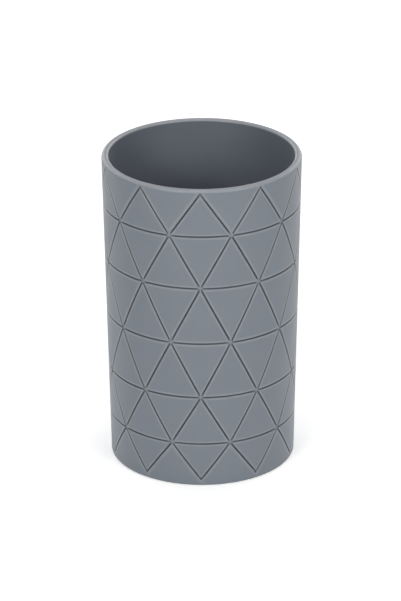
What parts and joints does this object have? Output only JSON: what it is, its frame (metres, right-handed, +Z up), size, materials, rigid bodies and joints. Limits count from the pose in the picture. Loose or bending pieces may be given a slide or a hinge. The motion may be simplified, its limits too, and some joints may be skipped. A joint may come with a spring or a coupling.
{
  "type": "bathroom tumbler",
  "caption": "Round, slightly tapered tumbler in matt grey plastic with an engraved grid of triangles and a rubber disc under its foot.",
  "frame": {"origin": "centre of the underside of the rubber disc, on the surface that the tumbler stands on", "axes": "+Z up along the cup's axis, from the disc to the rim; -Y faces the viewer of the picture"},
  "size_m": [0.072, 0.072, 0.1164],
  "materials": {
    "cup_plastic": "moulded plastic, soft-touch matt, blue grey",
    "adhesive_film": "thin double-sided adhesive film",
    "disc_rubber": "moulded soft rubber, dark grey, matt"
  },
  "bodies": {
    "root": {"cup_body": "cup_plastic", "disc_adhesive": "adhesive_film", "non_slip_disc": "disc_rubber"}
  },
  "joints": []
}
